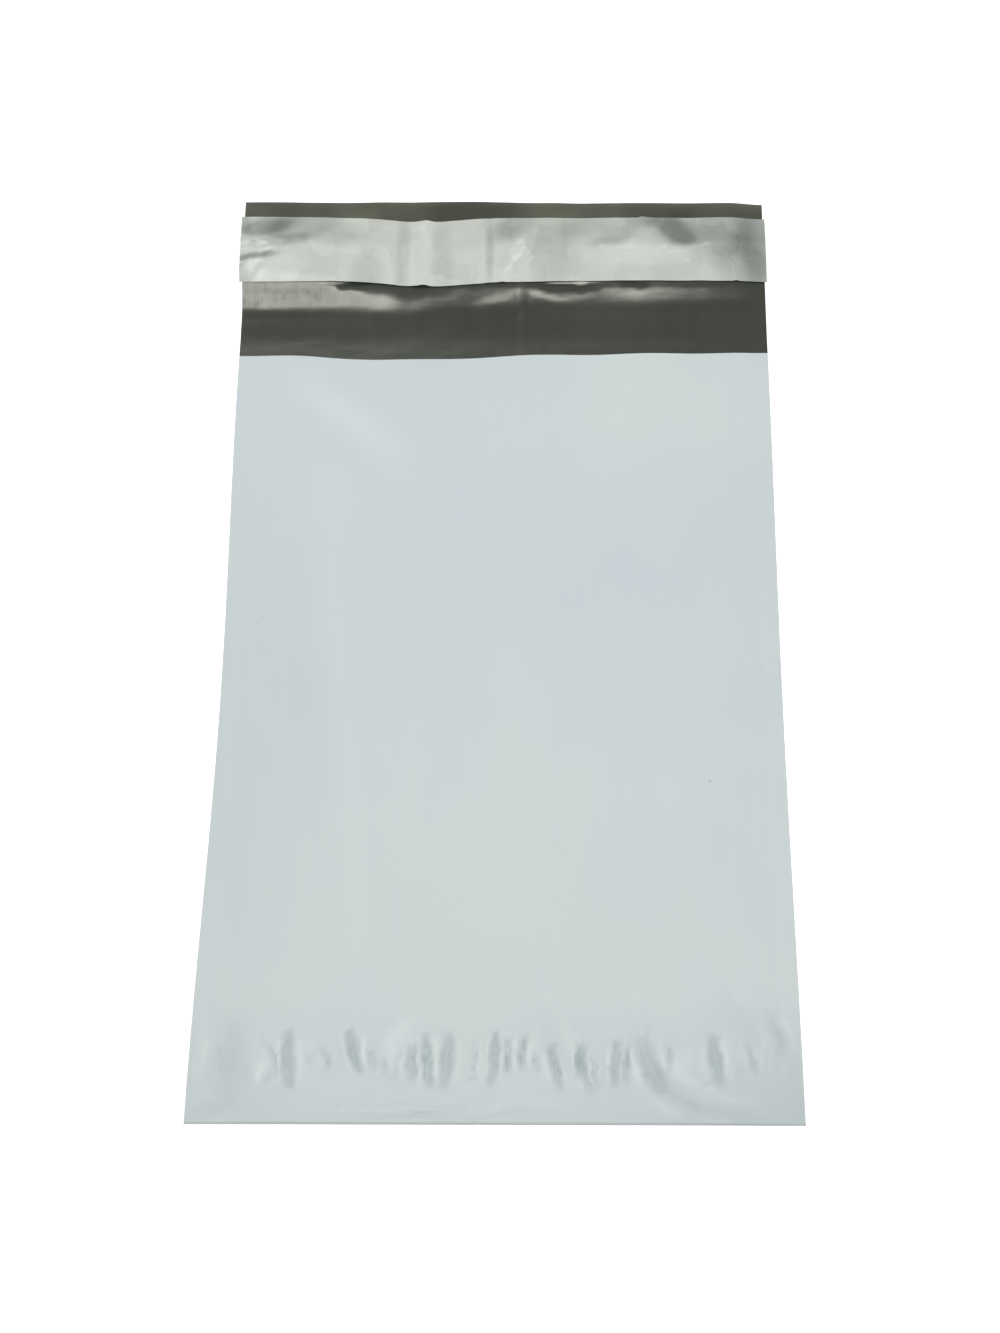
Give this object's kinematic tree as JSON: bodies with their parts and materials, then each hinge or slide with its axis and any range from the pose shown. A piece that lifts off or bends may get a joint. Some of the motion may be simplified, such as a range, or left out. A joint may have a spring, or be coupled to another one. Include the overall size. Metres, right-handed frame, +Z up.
{
  "type": "poly mailer",
  "caption": "Flat plastic film mailing bag lying open, with a peel-off release liner over the adhesive on its flap.",
  "frame": {"origin": "under the middle of the object's footprint, on the surface it lies on", "axes": "+X across the bag, +Y from the bottom fold to the flap, +Z up through the walls"},
  "size_m": [0.1548, 0.2792, 0.0088],
  "materials": {
    "film": "satin white polyethylene film, dark grey on its inside face",
    "adhesive": "smooth pale hot-melt adhesive",
    "liner": "thin translucent release film, slightly creased"
  },
  "bodies": {
    "root": {"bag_film": "film", "adhesive_strip": "adhesive", "release_liner": "liner"}
  },
  "joints": []
}
